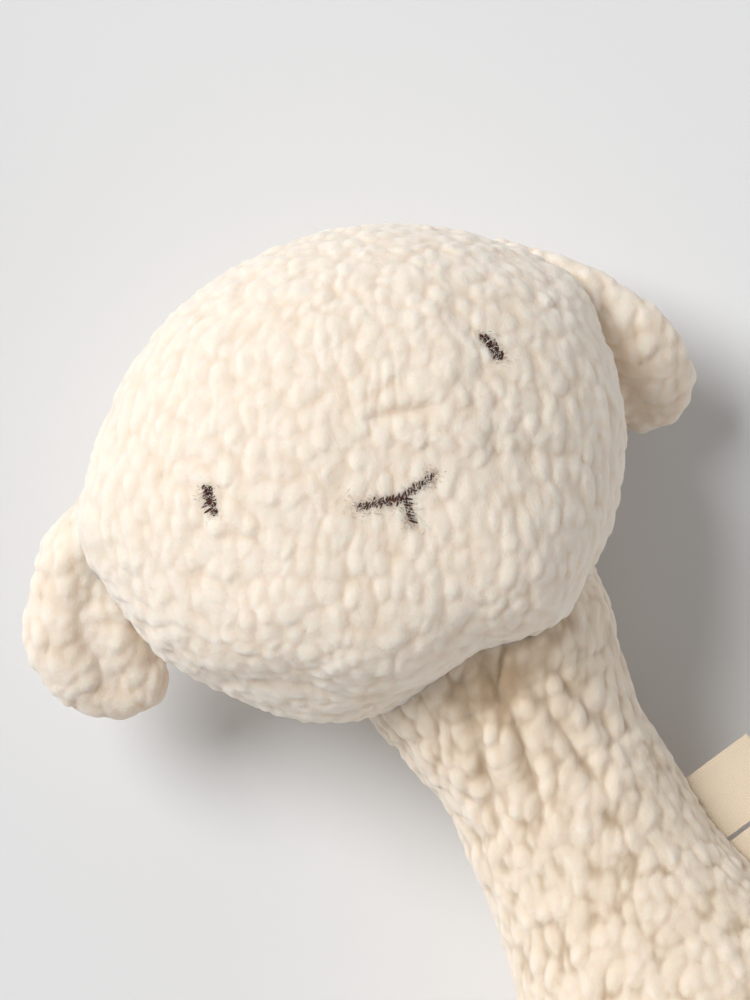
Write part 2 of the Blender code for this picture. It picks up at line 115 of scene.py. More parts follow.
# The way that the pile lies, down and to the sheep's right
COMB = np.array([-0.473, -0.881, 0.0])
COMB_TURN = np.array([[0.881, -0.473, 0.0], [0.473, 0.881, 0.0], [0.0, 0.0, 1.0]])


# Scatter and smooth noise on whole arrays

PRIMES = (73856093, 19349663, 83492791)
SALT_PRIME = 2654435761
STIRRER = 0x45D9F3B
WORD = 0xFFFFFFFF


def scatter(cells, salt):
    """Numbers from 0 to 1 for whole-number cells: each cell's three numbers times a prime,
    joined by exclusive or, then stirred twice by a shift and a multiply."""
    stir = (cells[..., 0] * PRIMES[0]) ^ (cells[..., 1] * PRIMES[1]) ^ (cells[..., 2] * PRIMES[2])
    stir = (stir ^ (salt * SALT_PRIME)) & WORD
    for _ in range(2):
        stir = ((stir ^ (stir >> 16)) * STIRRER) & WORD
    return (stir ^ (stir >> 16)) / (WORD + 1.0)


def bell(away, wide, power=2):
    """A bell curve, 1 at no distance and near 0 well past the width: e to minus the power of the
    distance over the width."""
    return np.exp(-((away / wide) ** power))


def drift(points, pitch, salt):
    """Smooth noise from -1 to 1: scatter at the corners of a lattice of this pitch, each corner's
    share being the product of three eased distances (3t^2 - 2t^3)."""
    places = points / pitch
    low = np.floor(places).astype(np.int64)
    part = places - low
    part = part * part * (3 - 2 * part)
    total = np.zeros(points.shape[:-1])
    for corner in np.ndindex(2, 2, 2):
        step = np.array(corner)
        share = np.prod(np.where(step == 1, part, 1 - part), axis=-1)
        total += share * scatter(low + step, salt)
    return total * 2 - 1


def curls(points, pitch, salt):
    """Height from 0 to 1 of soft curls: every lattice cell holds one lobe, one less its squared
    distance over its squared radius to the power 1.6, with a scattered middle, radius and height,
    and neighbours run together by a soft maximum."""
    places = points / pitch
    home = np.floor(places).astype(np.int64)
    total = np.zeros(points.shape[:-1])
    for offset in np.ndindex(3, 3, 3):
        cell = home + (np.array(offset) - 1)
        middle = np.stack([scatter(cell, salt + turn) for turn in (1, 2, 3)], -1)
        middle = cell + 0.5 + (middle - 0.5) * CURL_SCATTER
        radius = CURL_SMALLEST + CURL_GROWTH * scatter(cell, salt + 4)
        tall = CURL_LOWEST + CURL_RISE * scatter(cell, salt + 5)
        reach = np.sum((places - middle) ** 2, axis=-1) / radius ** 2
        lobe = tall * np.clip(1 - reach, 0, None) ** CURL_POWER
        total += np.exp(lobe * CURL_JOIN) - 1
    return np.log1p(total) / CURL_JOIN


def pile_height(points):
    """Height of the pile from 0 to 1: main curls on places turned to the comb and pushed about by
    drift, with lesser curls riding on them and a fine unevenness over both."""
    places = points @ COMB_TURN.T
    push = np.stack([drift(places, CURL_PUSH_PITCH, salt=31 + axis) for axis in range(3)], -1)
    pushed = places + CURL_PUSH * push
    main = curls(pushed, CURL_PITCH, salt=100)
    apart = pushed * LESSER_STRETCH + LESSER_SHIFT
    lesser = curls(apart, CURL_PITCH * LESSER_PITCH_SHARE, salt=200)
    fine = drift(pushed * FINE_STRETCH, FINE_PITCH, salt=300)
    return np.clip(MAIN_SHARE * main + LESSER_SHARE * lesser + FINE_SHARE * fine, 0, 1)


# Surfaces

def outward(points):
    """Unit normals of a grid that closes round its columns: the cross product of the steps
    between neighbours along both ways, turned to point away from the grid's middle line."""
    around = np.roll(points, -1, axis=1) - np.roll(points, 1, axis=1)
    along = np.gradient(points, axis=0)
    normal = np.cross(around, along)
    normal /= np.linalg.norm(normal, axis=-1, keepdims=True) + 1e-12
    spoke = points - points.mean(axis=1, keepdims=True)
    if np.sum(normal * spoke) < 0:
        normal = -normal
    return normal


def fill_mesh(mesh, verts, groups):
    """Places and faces of a mesh, each group of faces having one number of corners."""
    mesh.vertices.add(len(verts))
    mesh.vertices.foreach_set("co", verts.astype(np.float32).ravel())
    loops = np.concatenate([faces.ravel() for faces in groups]).astype(np.int32)
    mesh.loops.add(len(loops))
    mesh.loops.foreach_set("vertex_index", loops)
    corners = np.concatenate([np.full(len(faces), faces.shape[1]) for faces in groups])
    starts = (np.cumsum(corners) - corners).astype(np.int32)
    mesh.polygons.add(len(starts))
    mesh.polygons.foreach_set("loop_start", starts)
    mesh.update(calc_edges=True)
    mesh.shade_smooth()


def close_grid(name, points, first, last):
    """Mesh of a grid that closes round its columns, with a fan to a single point at each end,
    its faces turned outwards by the sign of the volume they hold."""
    rows, columns = points.shape[:2]
    verts = np.concatenate([points.reshape(-1, 3), [first, last]])
    index = np.arange(rows * columns).reshape(rows, columns)
    following = np.roll(index, -1, axis=1)
    quads = np.stack([index[:-1], following[:-1], following[1:], index[1:]], -1).reshape(-1, 4)
    low = np.full(columns, rows * columns)
    fans = np.concatenate([
        np.stack([low, following[0], index[0]], -1),
        np.stack([low + 1, index[-1], following[-1]], -1),
    ])
    corners = verts[quads]
    volume = np.sum(np.cross(corners[:, 0], corners[:, 1]) * corners[:, 2])
    if volume < 0:
        quads, fans = quads[:, ::-1], fans[:, ::-1]
    mesh = bpy.data.meshes.new(name)
    fill_mesh(mesh, verts, [quads, fans])
    return mesh


def show(mesh, look, painted_tones=None):
    """An object at the origin for a finished mesh, with its material and, when given, its painted
    tones as a point attribute.
    """
    if painted_tones is not None:
        layer = mesh.attributes.new("pile", "FLOAT", "POINT")
        layer.data.foreach_set("value", painted_tones.astype(np.float32))
    mesh.materials.append(look)
    made = bpy.data.objects.new(mesh.name, mesh)
    bpy.context.scene.collection.objects.link(made)
    return made


def even_rows(points, rows):
    """The same lines with their rows spread evenly: the length along each column from its first
    row, as a share of the whole, is read back at evenly spaced shares."""
    step = np.linalg.norm(np.diff(points, axis=0), axis=-1)
    length = np.concatenate([np.zeros((1, points.shape[1])), np.cumsum(step, axis=0)])
    column = 2 * np.arange(points.shape[1])
    known = (length / length[-1] + column).T.ravel()
    wanted = (((np.arange(rows) + 0.5) / rows)[:, None] + column).T.ravel()
    parts = [np.interp(wanted, known, points[..., k].T.ravel()) for k in range(3)]
    return np.stack([part.reshape(-1, rows).T for part in parts], -1)


def fleece_skin(name, base, keep=None, comb=COMB, shade=0.0, shade_lift=0.12):
    """Fleece on a grid of places on a solid: each place moves out by the root height and by the pile
    there, and leans along the comb by a share of the pile's height. keep, from 0 to 1, is the share
    of the pile that stands where it is stitched, sewn or pressed, and where less stands the colour is
    darker too, painted shade; shade is how far its colour goes to that between the curls, painted
    shade, and shade_lift how far it goes to that of their tips, lightening that painted shade."""
    normal = outward(base)
    height = pile_height(base)
    thick = 1 + PILE_CHANGE_SHARE * drift(base, PILE_CHANGE_PITCH, salt=41)
    lumps = LUMP * drift(base, LUMP_PITCH, salt=42)
    if keep is None:
        keep = np.ones(height.shape)
    rise = PILE_ROOT + lumps * keep + PILE * thick * height * keep
    along = comb - normal * np.sum(normal * comb, axis=-1, keepdims=True)
    lean = CURL_LEAN * (height * keep) ** 2
    points = base + normal * rise[..., None] + along * lean[..., None]
    points[..., 2] = above_floor(points[..., 2])
    mesh = close_grid(name, points, points[0].mean(axis=0), points[-1].mean(axis=0))
    # Painted shade: the colour is darkest between the curls and where the pile is pressed or parted;
    # shade darkens it further and shade_lift lightens it.
    shaded_tone = (shade_lift + (1 - shade_lift) * height * keep) * (1 - shade)
    painted_tones = np.concatenate([shaded_tone.ravel(), [0.5, 0.5]])
    return show(mesh, LOOKS["fleece"], painted_tones)


def above_floor(height):
    """Heights kept over the surface that the toy lies on: half the sum of the height and of the
    root of its square and a small square, which is over zero for places below the surface too,
    and a quarter of the small length."""
    soft = FLOOR_SOFTNESS
    return (height + np.sqrt(height ** 2 + soft ** 2)) / 2 + soft / 4


def eased(stations, places):
    """Values level at each (place, value) station and smooth (3t^2 - 2t^3) in between."""
    values = np.full(places.shape, float(stations[0][1]))
    for (start, low), (end, high) in zip(stations, stations[1:]):
        share = np.clip((places - start) / (end - start), 0, 1)
        values = np.where(places > start, low + (high - low) * share ** 2 * (3 - 2 * share), values)
    return values


# Finishes

def link(tree, start, end):
    """A link between two sockets of a tree."""
    tree.links.new(start, end)


def fibre_grain():
    """Group: the height of fine crossed fibres, from two stretched noises at the given scale."""
    group = bpy.data.node_groups.new("fibre_grain", "ShaderNodeTree")
    face = group.interface
    face.new_socket("Vector", in_out="INPUT", socket_type="NodeSocketVector")
    face.new_socket("Scale", in_out="INPUT", socket_type="NodeSocketFloat")
    face.new_socket("Height", in_out="OUTPUT", socket_type="NodeSocketFloat")
    source = group.nodes.new("NodeGroupInput")
    drain = group.nodes.new("NodeGroupOutput")
    add = group.nodes.new("ShaderNodeMath")
    add.operation = "ADD"
    for turn, (stretch, warp) in enumerate((((1, 0.45, 1), 2.4), ((0.5, 1, 0.8), 1.6))):
        mapping = group.nodes.new("ShaderNodeMapping")
        mapping.inputs["Scale"].default_value = stretch
        noise = group.nodes.new("ShaderNodeTexNoise")
        noise.inputs["Detail"].default_value = 3
        noise.inputs["Distortion"].default_value = warp
        link(group, source.outputs["Vector"], mapping.inputs["Vector"])
        link(group, mapping.outputs["Vector"], noise.inputs["Vector"])
        link(group, source.outputs["Scale"], noise.inputs["Scale"])
        link(group, noise.outputs["Fac"], add.inputs[turn])
    link(group, add.outputs["Value"], drain.inputs["Height"])
    return group


def new_look(name, roughness):
    """A dull material: itself, its shader and its node tree."""
    look = bpy.data.materials.new(name)
    look.use_nodes = True
    shader = look.node_tree.nodes["Principled BSDF"]
    shader.inputs["Roughness"].default_value = roughness
    shader.inputs["Specular IOR Level"].default_value = 0.15
    return look, shader, look.node_tree


def colour_ramp(tree, *stations):
    """A colour ramp node with a colour at each (place, colour) station."""
    ramp = tree.nodes.new("ShaderNodeValToRGB")
    stops = ramp.color_ramp.elements
    for stop, (place, colour) in zip(stops, (stations[0], stations[-1])):
        stop.position, stop.color = place, colour
    for place, colour in stations[1:-1]:
        stops.new(place).color = colour
    return ramp


def bumped(tree, shader, scale, depth):
    """Fine fibres in the shader's normal, worked out from the object's own places: gives back
    the nodes that hold those places and the fibres' height."""
    place = tree.nodes.new("ShaderNodeTexCoord")
    grain = tree.nodes.new("ShaderNodeGroup")
    grain.node_tree = GRAIN
    grain.inputs["Scale"].default_value = scale
    bump = tree.nodes.new("ShaderNodeBump")
    bump.inputs["Distance"].default_value = depth
    bump.inputs["Strength"].default_value = 1.0
    link(tree, place.outputs["Object"], grain.inputs["Vector"])
    link(tree, grain.outputs["Height"], bump.inputs["Height"])
    link(tree, bump.outputs["Normal"], shader.inputs["Normal"])
    return place, grain


def fleece_look():
    """Cream pile: pale at the curls' tops, and warmer and browner between them, which is painted
    shade.
    """
    look, shader, tree = new_look("cream_fleece", 0.95)
    place, _ = bumped(tree, shader, 900, 0.00012)
    height = tree.nodes.new("ShaderNodeAttribute")
    height.attribute_name = "pile"
    # Painted shade: the lower the value, the darker and browner, as in the hollows between the curls.
    ramp = colour_ramp(tree, (0.03, (0.55, 0.41, 0.27, 1)), (0.27, (0.85, 0.735, 0.60, 1)),
                       (0.62, (0.93, 0.83, 0.73, 1)))
    patch = tree.nodes.new("ShaderNodeTexNoise")
    patch.inputs["Scale"].default_value = 90
    patch.inputs["Detail"].default_value = 2
    tint = tree.nodes.new("ShaderNodeMix")
    tint.data_type = "RGBA"
    tint.blend_type = "MULTIPLY"
    tint.inputs["B"].default_value = (1.0, 0.965, 0.92, 1)
    link(tree, place.outputs["Object"], patch.inputs["Vector"])
    link(tree, height.outputs["Fac"], ramp.inputs["Fac"])
    link(tree, ramp.outputs["Color"], tint.inputs["A"])
    link(tree, patch.outputs["Fac"], tint.inputs["Factor"])
    link(tree, tint.outputs["Result"], shader.inputs["Base Color"])
    shader.inputs["Subsurface Weight"].default_value = 0.7
    shader.inputs["Subsurface Radius"].default_value = (1.0, 0.75, 0.55)
    shader.inputs["Subsurface Scale"].default_value = 0.0032
    shader.inputs["Sheen Weight"].default_value = 0.25
    shader.inputs["Sheen Roughness"].default_value = 0.6
    return look


def fibre_look():
    """Single pale fibres, their colour varied by a fine noise."""
    look, shader, tree = new_look("pale_fibre", 0.9)
    _, grain = bumped(tree, shader, 2600, 0.00002)
    ramp = colour_ramp(tree, (0, (0.86, 0.76, 0.66, 1)), (1, (0.97, 0.91, 0.83, 1)))
    link(tree, grain.outputs["Height"], ramp.inputs["Fac"])
    link(tree, ramp.outputs["Color"], shader.inputs["Base Color"])
    shader.inputs["Sheen Weight"].default_value = 0.4
    return look


def thread_look():
    """Dark brown thread with fine twisted fibres."""
    look, shader, tree = new_look("brown_thread", 0.55)
    _, grain = bumped(tree, shader, 2600, 0.00008)
    ramp = colour_ramp(tree, (0.75, (0.018, 0.008, 0.006, 1)), (1, (0.10, 0.045, 0.032, 1)))
    link(tree, grain.outputs["Height"], ramp.inputs["Fac"])
    link(tree, ramp.outputs["Color"], shader.inputs["Base Color"])
    return look


def ribbon_look():
    """Cream woven ribbon: two crossed waves make the weave's raised threads."""
    look, shader, tree = new_look("woven_ribbon", 0.75)
    place = tree.nodes.new("ShaderNodeTexCoord")
    waves = []
    for axis in ("X", "Y"):
        wave = tree.nodes.new("ShaderNodeTexWave")
        wave.bands_direction = axis
        wave.inputs["Scale"].default_value = 620
        wave.inputs["Distortion"].default_value = 0.4
        link(tree, place.outputs["Object"], wave.inputs["Vector"])
        waves.append(wave)
    weave = tree.nodes.new("ShaderNodeMath")
    weave.operation = "MULTIPLY"
    link(tree, waves[0].outputs["Fac"], weave.inputs[0])
    link(tree, waves[1].outputs["Fac"], weave.inputs[1])
    bump = tree.nodes.new("ShaderNodeBump")
    bump.inputs["Distance"].default_value = 0.00008
    link(tree, weave.outputs["Value"], bump.inputs["Height"])
    link(tree, bump.outputs["Normal"], shader.inputs["Normal"])
    # Painted shade: the colour is darker between the weave's raised threads.
    ramp = colour_ramp(tree, (0, (0.82, 0.68, 0.51, 1)), (1, (0.93, 0.80, 0.63, 1)))
    link(tree, weave.outputs["Value"], ramp.inputs["Fac"])
    link(tree, ramp.outputs["Color"], shader.inputs["Base Color"])
    shader.inputs["Sheen Weight"].default_value = 0.2
    return look


GRAIN = fibre_grain()
LOOKS = {"fleece": fleece_look(), "fibre": fibre_look(), "thread": thread_look(),
         "ribbon": ribbon_look()}


# Head

def turned_head(points):
    """Head places to the toy's frame: turned about +Y by the head's turn, then moved."""
    sine, cosine = math.sin(HEAD_TURN), math.cos(HEAD_TURN)
    x = points[..., 0] * cosine + points[..., 2] * sine
    z = points[..., 2] * cosine - points[..., 0] * sine
    return np.stack([x, points[..., 1], z], -1) + HEAD_MIDDLE


# The stitched marks on the face, across and up from the head's middle: each eye's place and
# slant in degrees, where the nose's three lines meet, and their runs from there to their tips
EYES = {"right": (-0.0345, 0.0086, -11.5), "left": (0.0337, 0.0092, 13.0)}
NOSE = (0.0013, -0.0100)
NOSE_TIPS = ((-0.0099, 0.0029), (0.0078, 0.0011), (-0.0009, -0.0060))
EYE_PRESS, EYE_PRESS_HALF = 0.0024, 0.0017
NOSE_PRESS_HALF = 0.0012
# The bridge crease, and the forehead's edge over the far cheek
BRIDGE_ENDS = ((-0.0010, 0.0090), (0.0190, 0.0032))
BRIDGE_HALF, BRIDGE_DEPTH = 0.0016, 0.0010
BROW_FOOT, BROW_TOP = np.array([0.0190, -0.0140]), np.array([0.0340, 0.0380])
BROW_WAVE, BROW_WAVES = 0.0012, 420
BROW_MIDDLE, BROW_HALF = 0.0270, 0.0230
BROW_STAND, BROW_FADE, BROW_EDGE = 0.0017, 0.016, 0.0011
FACE_JOIN_SHARE = 0.012
CHIN_PART_SHARES = (0.985, 0.020)
# Where the head is drawn out to an ear: that place off the ear's root, how wide, and how far
YOKE_INWARD, YOKE_DOWN, YOKE_FORWARD = 0.002, 0.005, 0.009
YOKE_HALF, YOKE_PULL, YOKE_DROP = 0.0125, 0.0042, 0.0012


def eye_down(slant):
    """The way down an eye's slanting line on the face."""
    lean = math.radians(slant)
    return np.array([-math.sin(lean), math.cos(lean)])


def stroke_press(x, y, start, end, wide):
    """From 1 on the line between two places on the face to 0 a few widths off it: a bell curve
    of the distance to the nearest point of the line."""
    run = np.array(end) - np.array(start)
    share = ((x - start[0]) * run[0] + (y - start[1]) * run[1]) / np.sum(run ** 2)
    share = np.clip(share, 0, 1)
    return bell(np.hypot(x - start[0] - share * run[0], y - start[1] - share * run[1]), wide)


# Round the head from straight down, in degrees to the sheep's left: the outline's share of the
# ellipse, the chin line's share of it, and how full the face is above that line
CHIN = np.array([
    (-90, 1.000, 1.00, 2.0), (-69, 0.995, 1.00, 2.2), (-56, 0.987, 0.955, 2.8),
    (-44, 1.012, 0.915, 3.1), (-36, 1.036, 0.93, 3.2), (-28, 1.042, 0.95, 3.3),
    (-9, 1.000, 0.96, 3.4), (2, 1.000, 0.91, 3.5), (10, 1.000, 0.975, 3.6),
    (18, 1.000, 1.04, 3.6), (24, 1.005, 1.04, 3.5), (31, 1.018, 0.99, 3.1),
    (40, 1.020, 1.00, 2.6), (55, 1.000, 1.00, 2.1), (90, 1.000, 1.00, 2.0),
])


def round_head(turn):
    """CHIN's columns read round the head by straight lines and evened over eight degrees."""
    spread = np.degrees(turn)[..., None] + np.linspace(-4, 4, 5)
    return [np.interp(spread, CHIN[:, 0], CHIN[:, column]).mean(axis=-1) for column in (1, 2, 3)]


def face_rise(reach, rim, chin, full):
    """How far forward the face stands at a reach out from its middle, as a share of the half
    depth: the higher of the ellipsoid and of a fuller face (one less the share of the chin line
    to the fullness, to one over it), joined by a soft maximum."""
    oval = np.sqrt(np.clip(1 - (reach / rim) ** 2, 0, 1))
    face = np.clip(1 - (reach / chin) ** full, 0, 1) ** (1 / full)
    join = FACE_JOIN_SHARE
    return (oval + face + np.sqrt((oval - face) ** 2 + join ** 2) - join) / 2


def crease(x, y, start, end, wide):
    """How near a line between two places on the face is: a bell curve of the distance across it,
    fading to nothing over the line's first and last quarters."""
    run = np.array(end) - np.array(start)
    size = np.hypot(*run)
    share = ((x - start[0]) * run[0] + (y - start[1]) * run[1]) / size ** 2
    aside = ((y - start[1]) * run[0] - (x - start[0]) * run[1]) / size
    return np.clip(4 * share, 0, 1) * np.clip(4 * (1 - share), 0, 1) * bell(aside, wide)


def face_relief(x, y):
    """Lift of the face's own folds, and how near its bridge crease is: the forehead stands over
    the far cheek along a line up from the bridge, and fades away from that line."""
    bridge = crease(x, y, *BRIDGE_ENDS, BRIDGE_HALF)
    run = (BROW_TOP - BROW_FOOT) / np.hypot(*(BROW_TOP - BROW_FOOT))
    along = (x - BROW_FOOT[0]) * run[0] + (y - BROW_FOOT[1]) * run[1]
    aside = (x - BROW_FOOT[0]) * run[1] - (y - BROW_FOOT[1]) * run[0]
    aside = aside + BROW_WAVE * np.sin(along * BROW_WAVES)
    reach = bell(along - BROW_MIDDLE, BROW_HALF, 4)
    stand = reach * np.exp(-np.abs(aside) / BROW_FADE) / (1 + np.exp(aside / BROW_EDGE))
    return BROW_STAND * stand - BRIDGE_DEPTH * bridge, bridge


def head_form(rows, columns):
    """The head's base, its grid running from the back's middle round the rim to the face's middle:
    behind, an ellipsoid that opens to the rim's reach, and in front the face's rise and relief."""
    turn = np.arange(columns) / columns * 2 * math.pi - math.pi
    rim, chin, full = round_head(turn)
    widest = np.maximum(rim, chin)
    rise = np.linspace(0, math.pi / 2, 240)[:, None]
    back_reach = np.sin(rise) * (1 + (widest - 1) * np.sin(rise) ** 4)
    back_height = -np.cos(rise) + 0 * rim
    reach = widest * np.sin(rise[::-1])
    height = face_rise(reach, rim, chin, full)
    reach = np.concatenate([back_reach, reach[1:]])
    height = np.concatenate([back_height, height[1:]])
    half = HEAD_SIZE / 2
    x = half[0] * reach * np.sin(turn)
    y = -half[1] * reach * np.cos(turn)
    z = half[2] * height + np.clip(height, 0, 1) * face_relief(x, y)[0]
    return even_rows(np.stack([x, y, z], -1), rows), chin


def face_point(x, y):
    """Place on the face at x across and y up from the head's middle, and the way out of it, from
    the slopes between places a little to each side."""
    half = HEAD_SIZE / 2

    def rise(x, y):
        """How far forward the face stands there: its rise and its relief, as in head_form."""
        reach = np.hypot(x / half[0], y / half[1])
        turn = np.arctan2(x / half[0], -y / half[1])
        height = face_rise(reach, *round_head(turn))
        return half[2] * height + height * face_relief(x, y)[0]

    step = 0.0008
    out = np.array([rise(x - step, y) - rise(x + step, y), rise(x, y - step) - rise(x, y + step),
                    2 * step])
    return np.array([x, y, rise(x, y)]), out / np.linalg.norm(out)


def head_skin():
    """The head's form in fleece, pulled out a little where the ears are sewn in (a bell curve of
    the distance), its pile pressed along the stitches and parted at the seam and the chin."""
    rows, columns = 270, 540
    places, chin = head_form(rows, columns)
    half = HEAD_SIZE / 2
    x, y, z = places[..., 0], places[..., 1], places[..., 2]
    bridge = face_relief(x, y)[1] * (z > 0)
    press = np.zeros(x.shape)
    for across, rise, slant in EYES.values():
        step = eye_down(slant) * EYE_PRESS
        middle = np.array([across, rise])
        near = stroke_press(x, y, middle - step, middle + step, EYE_PRESS_HALF)
        press = np.maximum(press, near)
    for tip in NOSE_TIPS:
        end = (NOSE[0] + tip[0], NOSE[1] + tip[1])
        press = np.maximum(press, stroke_press(x, y, NOSE, end, NOSE_PRESS_HALF))
    press *= z > 0
    seam = 0.45 * bell(z, SEAM_HALF)
    reach = np.hypot(x / half[0], y / half[1])
    line, wide = CHIN_PART_SHARES
    under = bell(reach - chin * line, wide) * (z > 0) * (chin < line)
    # Less pile also means a darker colour: painted shade along the stitches, the bridge crease, the
    # seam and the chin line.
    keep = np.clip(1 - 0.85 * press - 0.5 * bridge, 0, 1) * (1 - seam) * (1 - 0.35 * under)
    base = turned_head(places)
    for name, side in SIDES.items():
        spot = np.array(BODY_AT["ear_%s_lift" % name])
        spot += (-YOKE_INWARD * side, -YOKE_DOWN, YOKE_FORWARD)
        near = bell(np.linalg.norm(base - spot, axis=-1), YOKE_HALF)
        base = base + near[..., None] * np.array([YOKE_PULL * side, -YOKE_DROP, 0.0])
    skin = fleece_skin("head_fleece", base, keep, shade_lift=0.22)
    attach(skin, "head")
    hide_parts("face_panel", "head_back_panel", "head_stuffing")


# Stitches: the threads' own measures, then the eyes', the nose's and the loose fibres'

THREAD_SIDES, THREAD_RINGS = 7, 9
THREAD_END, THREAD_BOW = 0.97, 1.1
EYE_THREAD, EYE_THREADS = 0.00024, 17
EYE_HALF, EYE_RISE, EYE_END = 0.0015, 0.0035, 0.0002
EYE_SCATTER, EYE_TILT = 0.0008, 0.0005
EYE_LIFT, EYE_LIFTS, EYE_END_LIFT = 0.0001, 0.0005, 0.0004
NOSE_THREAD, NOSE_STEP = 0.00022, 0.00042
NOSE_HALF, NOSE_SCATTER, NOSE_TILT = 0.0014, 0.0004, 0.0006
NOSE_LIFT, NOSE_DIP = 0.0005, 0.0004
FIBRE_LENGTH, FIBRE_RADIUS, FIBRE_ROOT = 0.0019, 0.00007, 0.0005
EYE_FIBRES, EYE_FIBRE_RUN, EYE_FIBRE_STRAY = 90, 0.0036, 0.0011
NOSE_FIBRES, NOSE_FIBRE_RUN, NOSE_FIBRE_STRAY = 110, (0.20, 1.15), 0.0012
FIBRE_SPREAD, FIBRE_STEPS = (0.5, 1.2), (0.5, 0.6)
FIBRE_OUT, FIBRE_COMBED, FIBRE_WILDNESS = 0.8, 0.4, (0.5, 0.5, 0.2)


def thread_run(lines, radius):
    """Short threads as one array: each is a tube round the line from its start to its end, bowed
    upwards by half a sine, its radius the square root of one less the fourth power of the place
    along it from -1 to 1, so that its ends are round."""
    starts, ends, ups = (np.array(part) for part in zip(*lines))
    place = np.linspace(-THREAD_END, THREAD_END, THREAD_RINGS)[None, :, None, None]
    turn = (np.arange(THREAD_SIDES) / THREAD_SIDES * 2 * math.pi)[None, None, :, None]
    along = ends - starts
    length = np.linalg.norm(along, axis=-1, keepdims=True)
    along = along / length
    across = np.cross(along, ups)
    across /= np.linalg.norm(across, axis=-1, keepdims=True)
    over = np.cross(across, along)
    parts = (starts, ends - starts, across, over)
    start, run, side, over = (part[:, None, None, :] for part in parts)
    wide = radius * np.sqrt(1 - place ** 4)
    bow = radius * THREAD_BOW * np.cos(place * math.pi / 2)
    return (start + run * (place + 1) / 2 + over * bow
            + wide * (np.cos(turn) * side + np.sin(turn) * over))


def stitched(name, node, lines, radius):
    """One mesh of all the threads of a stitched mark, each thread closed at both ends."""
    tubes = thread_run(lines, radius)
    count, rings, sides = tubes.shape[:3]
    index = np.arange(count * rings * sides).reshape(count, rings, sides)
    following = np.roll(index, -1, axis=2)
    faces = np.stack([index[:, :-1], following[:, :-1], following[:, 1:], index[:, 1:]], -1)
    faces = faces.reshape(-1, 4).tolist()
    faces += index[:, 0, ::-1].tolist() + index[:, -1].tolist()
    mesh = bpy.data.meshes.new(name)
    mesh.from_pydata(tubes.reshape(-1, 3).tolist(), [], faces)
    mesh.update()
    mesh.shade_smooth()
    made = show(mesh, LOOKS["thread"])
    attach(made, "head")
    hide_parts(node)


def on_head(x, y, lift):
    """Toy-frame place and outward way at a place on the face."""
    point, out = face_point(np.float64(x), np.float64(y))
    middle = turned_head(np.zeros(3))
    return turned_head(point + out * lift), turned_head(out) - middle


def eye(name, across, rise, slant):
    """Satin stitches side by side across an oval: each runs the oval's width at its place, one
    less its squared place to the power 0.7, made longer or shorter in turn, and slants a little."""
    down = eye_down(slant)
    aside = np.array([down[1], -down[0]])
    lines = []
    for step in range(EYE_THREADS):
        place = -1 + 2 * (step + 0.5) / EYE_THREADS
        wide = EYE_HALF * (1 - place ** 2) ** 0.7 + EYE_END
        wide *= 0.60 + 0.60 * ((step * 7) % 5) / 4
        off = EYE_SCATTER * (((step * 3) % 4) / 3 - 0.5)
        middle = np.array([across, rise]) + down * place * EYE_RISE + aside * off
        tilt = down * EYE_TILT
        start, end = middle - aside * wide - tilt, middle + aside * wide + tilt
        first, up = on_head(*start, EYE_LIFT + EYE_LIFTS * ((step * 5) % 3) / 2)
        second, _ = on_head(*end, EYE_END_LIFT)
        lines.append((first, second, up))
    stitched(name, name, lines, EYE_THREAD)


def nose_and_mouth():
    """Three lines of short slanting stitches that meet in a Y, each line thinner at its tip."""
    lines = []
    for arm, tip in enumerate(NOSE_TIPS):
        run = np.array(tip)
        length = np.hypot(*run)
        way = run / length
        aside = np.array([-way[1], way[0]])
        count = int(length / NOSE_STEP)
        for step in range(count):
            place = (step + 0.3) / count
            wide = NOSE_HALF * (1 - 0.60 * place) * (0.60 + 0.60 * ((step * 5 + arm) % 4) / 3)
            off = NOSE_SCATTER * (((step * 3) % 5) / 2 - 1)
            middle = np.array(NOSE) + run * place + aside * off
            slant = way * NOSE_TILT
            dip = NOSE_DIP * ((step * 7) % 3)
            first, up = on_head(*(middle - aside * wide - slant), NOSE_LIFT - dip)
            second, _ = on_head(*(middle + aside * wide + slant), NOSE_LIFT)
            lines.append((first, second, up))
    stitched("nose_and_mouth_stitches", "nose_and_mouth", lines, NOSE_THREAD)


